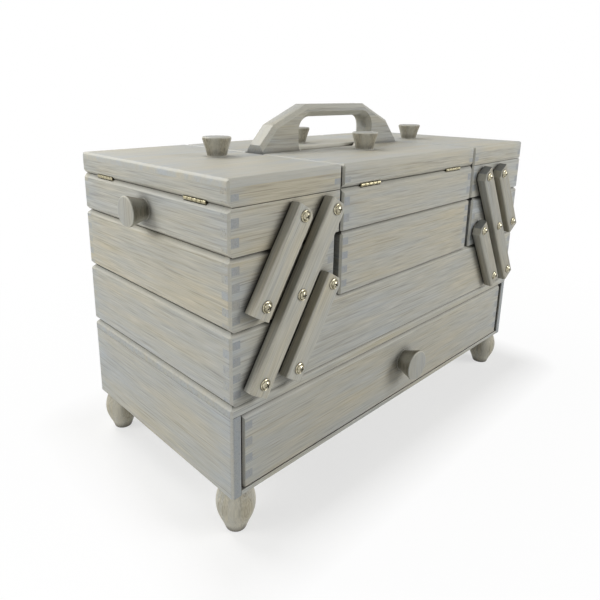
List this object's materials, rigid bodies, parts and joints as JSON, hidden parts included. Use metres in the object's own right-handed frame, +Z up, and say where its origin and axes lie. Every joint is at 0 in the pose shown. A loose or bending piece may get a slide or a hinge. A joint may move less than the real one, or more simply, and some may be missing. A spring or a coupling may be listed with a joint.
{
  "type": "cantilever sewing box with drawer",
  "caption": "Wooden cantilever sewing box on turned feet, with swing-out trays on pivoted arms, hinged lids, a carrying handle and a drawer in the base.",
  "frame": {"origin": "middle of the box on the floor, between the soles of the feet", "axes": "+X along the box to the right as seen from the drawer, +Y from the drawer front to the back, +Z up"},
  "size_m": [0.4844, 0.2532, 0.3335],
  "materials": {
    "back_lid_frame": "grey-washed solid wood, brushed along the grain",
    "back_lid_hinge_leaves": "plated brass",
    "back_lid_knob": "grey-washed solid wood, brushed along the grain",
    "back_lid_panel": "grey-washed solid wood, brushed along the grain",
    "base_back": "grey-washed solid wood, brushed along the grain",
    "base_bottom": "grey-washed solid wood, brushed along the grain",
    "base_sides": "grey-washed solid wood, brushed along the grain",
    "base_top": "grey-washed solid wood, brushed along the grain",
    "bottom_box_bottom": "plain birch plywood",
    "bottom_box_end_boards": "grey-washed solid wood, brushed along the grain",
    "bottom_box_long_boards": "grey-washed solid wood, brushed along the grain",
    "bottom_box_screws": "nickel-plated steel",
    "drawer_back": "grey-washed solid wood, brushed along the grain",
    "drawer_bottom": "plain birch plywood",
    "drawer_front": "grey-washed solid wood, brushed along the grain",
    "drawer_knob": "grey-washed solid wood, brushed along the grain",
    "drawer_sides": "grey-washed solid wood, brushed along the grain",
    "feet": "grey-washed solid wood, brushed along the grain",
    "front_lid_frame": "grey-washed solid wood, brushed along the grain",
    "front_lid_hinge_leaves": "plated brass",
    "front_lid_knob": "grey-washed solid wood, brushed along the grain",
    "front_lid_panel": "grey-washed solid wood, brushed along the grain",
    "handle": "grey-washed solid wood, brushed along the grain",
    "left_lid_frame": "grey-washed solid wood, brushed along the grain",
    "left_lid_hinge_leaves": "plated brass",
    "left_lid_knob": "grey-washed solid wood, brushed along the grain",
    "left_lid_panel": "grey-washed solid wood, brushed along the grain",
    "left_long_arms": "grey-washed solid wood, brushed along the grain",
    "left_lower_arms": "grey-washed solid wood, brushed along the grain",
    "left_middle_tray_bottom": "plain birch plywood",
    "left_middle_tray_end_boards": "grey-washed solid wood, brushed along the grain",
    "left_middle_tray_long_boards": "grey-washed solid wood, brushed along the grain",
    "left_middle_tray_screws": "nickel-plated steel",
    "left_pull_knob": "grey-washed solid wood, brushed along the grain",
    "left_top_tray_bottom": "plain birch plywood",
    "left_top_tray_end_boards": "grey-washed solid wood, brushed along the grain",
    "left_top_tray_hinge_leaves": "plated brass",
    "left_top_tray_long_boards": "grey-washed solid wood, brushed along the grain",
    "left_top_tray_screws": "nickel-plated steel",
    "left_upper_arms": "grey-washed solid wood, brushed along the grain",
    "right_lid_frame": "grey-washed solid wood, brushed along the grain",
    "right_lid_hinge_leaves": "plated brass",
    "right_lid_knob": "grey-washed solid wood, brushed along the grain",
    "right_lid_panel": "grey-washed solid wood, brushed along the grain",
    "right_long_arms": "grey-washed solid wood, brushed along the grain",
    "right_lower_arms": "grey-washed solid wood, brushed along the grain",
    "right_middle_tray_bottom": "plain birch plywood",
    "right_middle_tray_end_boards": "grey-washed solid wood, brushed along the grain",
    "right_middle_tray_long_boards": "grey-washed solid wood, brushed along the grain",
    "right_middle_tray_screws": "nickel-plated steel",
    "right_pull_knob": "grey-washed solid wood, brushed along the grain",
    "right_top_tray_bottom": "plain birch plywood",
    "right_top_tray_end_boards": "grey-washed solid wood, brushed along the grain",
    "right_top_tray_hinge_leaves": "plated brass",
    "right_top_tray_long_boards": "grey-washed solid wood, brushed along the grain",
    "right_top_tray_screws": "nickel-plated steel",
    "right_upper_arms": "grey-washed solid wood, brushed along the grain",
    "tower_end_boards": "grey-washed solid wood, brushed along the grain",
    "tower_hinge_leaves": "plated brass",
    "tower_long_boards": "grey-washed solid wood, brushed along the grain"
  },
  "bodies": {
    "carcase": {"base_top": "base_top", "base_sides": "base_sides", "base_bottom": "base_bottom", "base_back": "base_back", "feet": "feet", "bottom_box_long_boards": "bottom_box_long_boards", "bottom_box_end_boards": "bottom_box_end_boards", "bottom_box_bottom": "bottom_box_bottom", "bottom_box_screws": "bottom_box_screws", "tower_long_boards": "tower_long_boards", "tower_end_boards": "tower_end_boards", "handle": "handle", "tower_hinge_leaves": "tower_hinge_leaves"},
    "drawer": {"drawer_front": "drawer_front", "drawer_back": "drawer_back", "drawer_sides": "drawer_sides", "drawer_bottom": "drawer_bottom", "drawer_knob": "drawer_knob"},
    "left_long_arms": {"left_long_arms": "left_long_arms"},
    "left_lower_arms": {"left_lower_arms": "left_lower_arms"},
    "left_upper_arms": {"left_upper_arms": "left_upper_arms"},
    "left_middle_tray": {"left_middle_tray_long_boards": "left_middle_tray_long_boards", "left_middle_tray_end_boards": "left_middle_tray_end_boards", "left_middle_tray_bottom": "left_middle_tray_bottom", "left_middle_tray_screws": "left_middle_tray_screws"},
    "left_top_tray": {"left_top_tray_long_boards": "left_top_tray_long_boards", "left_top_tray_end_boards": "left_top_tray_end_boards", "left_top_tray_bottom": "left_top_tray_bottom", "left_top_tray_screws": "left_top_tray_screws", "left_top_tray_hinge_leaves": "left_top_tray_hinge_leaves", "left_pull_knob": "left_pull_knob"},
    "right_long_arms": {"right_long_arms": "right_long_arms"},
    "right_lower_arms": {"right_lower_arms": "right_lower_arms"},
    "right_upper_arms": {"right_upper_arms": "right_upper_arms"},
    "right_middle_tray": {"right_middle_tray_long_boards": "right_middle_tray_long_boards", "right_middle_tray_end_boards": "right_middle_tray_end_boards", "right_middle_tray_bottom": "right_middle_tray_bottom", "right_middle_tray_screws": "right_middle_tray_screws"},
    "right_top_tray": {"right_top_tray_long_boards": "right_top_tray_long_boards", "right_top_tray_end_boards": "right_top_tray_end_boards", "right_top_tray_bottom": "right_top_tray_bottom", "right_top_tray_screws": "right_top_tray_screws", "right_top_tray_hinge_leaves": "right_top_tray_hinge_leaves", "right_pull_knob": "right_pull_knob"},
    "left_lid": {"left_lid_frame": "left_lid_frame", "left_lid_panel": "left_lid_panel", "left_lid_knob": "left_lid_knob", "left_lid_hinge_leaves": "left_lid_hinge_leaves"},
    "right_lid": {"right_lid_frame": "right_lid_frame", "right_lid_panel": "right_lid_panel", "right_lid_knob": "right_lid_knob", "right_lid_hinge_leaves": "right_lid_hinge_leaves"},
    "front_lid": {"front_lid_frame": "front_lid_frame", "front_lid_panel": "front_lid_panel", "front_lid_knob": "front_lid_knob", "front_lid_hinge_leaves": "front_lid_hinge_leaves"},
    "back_lid": {"back_lid_frame": "back_lid_frame", "back_lid_panel": "back_lid_panel", "back_lid_knob": "back_lid_knob", "back_lid_hinge_leaves": "back_lid_hinge_leaves"}
  },
  "joints": [
    {"name": "drawer_slide", "type": "slide", "parent": "carcase", "child": "drawer", "axis": [0, -1, 0], "range_m": [0, 0.15]},
    {"name": "left_swing", "type": "hinge", "parent": "carcase", "child": "left_long_arms", "pos_m": [-0.2014, 0, 0.136], "axis": [0, -1, 0], "range_deg": [0, 63.2]},
    {"name": "left_lower_arms_pivot", "type": "hinge", "parent": "carcase", "child": "left_lower_arms", "pos_m": [-0.1654, 0, 0.136], "axis": [0, -1, 0], "range_deg": [0, 63.2]},
    {"name": "left_middle_tray_pivot", "type": "hinge", "parent": "left_long_arms", "child": "left_middle_tray", "pos_m": [-0.1638, 0, 0.1967], "axis": [0, 1, 0], "range_deg": [0, 63.2]},
    {"name": "left_top_tray_pivot", "type": "hinge", "parent": "left_long_arms", "child": "left_top_tray", "pos_m": [-0.1262, 0, 0.2574], "axis": [0, 1, 0], "range_deg": [0, 63.2]},
    {"name": "left_upper_arms_pivot", "type": "hinge", "parent": "left_middle_tray", "child": "left_upper_arms", "pos_m": [-0.1998, 0, 0.1967], "axis": [0, -1, 0], "range_deg": [0, 63.2]},
    {"name": "left_lid_hinge", "type": "hinge", "parent": "left_top_tray", "child": "left_lid", "pos_m": [-0.2225, 0, 0.26965], "axis": [0, -1, 0], "range_deg": [0, 93]},
    {"name": "right_swing", "type": "hinge", "parent": "carcase", "child": "right_long_arms", "pos_m": [0.2014, 0, 0.136], "axis": [0, 1, 0], "range_deg": [0, 63.2]},
    {"name": "right_lower_arms_pivot", "type": "hinge", "parent": "carcase", "child": "right_lower_arms", "pos_m": [0.1654, 0, 0.136], "axis": [0, 1, 0], "range_deg": [0, 63.2]},
    {"name": "right_middle_tray_pivot", "type": "hinge", "parent": "right_long_arms", "child": "right_middle_tray", "pos_m": [0.1638, 0, 0.1967], "axis": [0, -1, 0], "range_deg": [0, 63.2]},
    {"name": "right_top_tray_pivot", "type": "hinge", "parent": "right_long_arms", "child": "right_top_tray", "pos_m": [0.1262, 0, 0.2574], "axis": [0, -1, 0], "range_deg": [0, 63.2]},
    {"name": "right_upper_arms_pivot", "type": "hinge", "parent": "right_middle_tray", "child": "right_upper_arms", "pos_m": [0.1998, 0, 0.1967], "axis": [0, 1, 0], "range_deg": [0, 63.2]},
    {"name": "right_lid_hinge", "type": "hinge", "parent": "right_top_tray", "child": "right_lid", "pos_m": [0.2225, 0, 0.26965], "axis": [0, 1, 0], "range_deg": [0, 93]},
    {"name": "front_lid_hinge", "type": "hinge", "parent": "carcase", "child": "front_lid", "pos_m": [0, -0.1075, 0.26965], "axis": [1, 0, 0], "range_deg": [0, 105]},
    {"name": "back_lid_hinge", "type": "hinge", "parent": "carcase", "child": "back_lid", "pos_m": [0, 0.1075, 0.26965], "axis": [-1, 0, 0], "range_deg": [0, 105]}
  ],
  "couplings": [
    {"joint": "left_lower_arms_pivot", "follows": "left_swing", "ratio": 1},
    {"joint": "left_middle_tray_pivot", "follows": "left_swing", "ratio": 1},
    {"joint": "left_top_tray_pivot", "follows": "left_swing", "ratio": 1},
    {"joint": "left_upper_arms_pivot", "follows": "left_swing", "ratio": 1},
    {"joint": "right_lower_arms_pivot", "follows": "right_swing", "ratio": 1},
    {"joint": "right_middle_tray_pivot", "follows": "right_swing", "ratio": 1},
    {"joint": "right_top_tray_pivot", "follows": "right_swing", "ratio": 1},
    {"joint": "right_upper_arms_pivot", "follows": "right_swing", "ratio": 1}
  ]
}
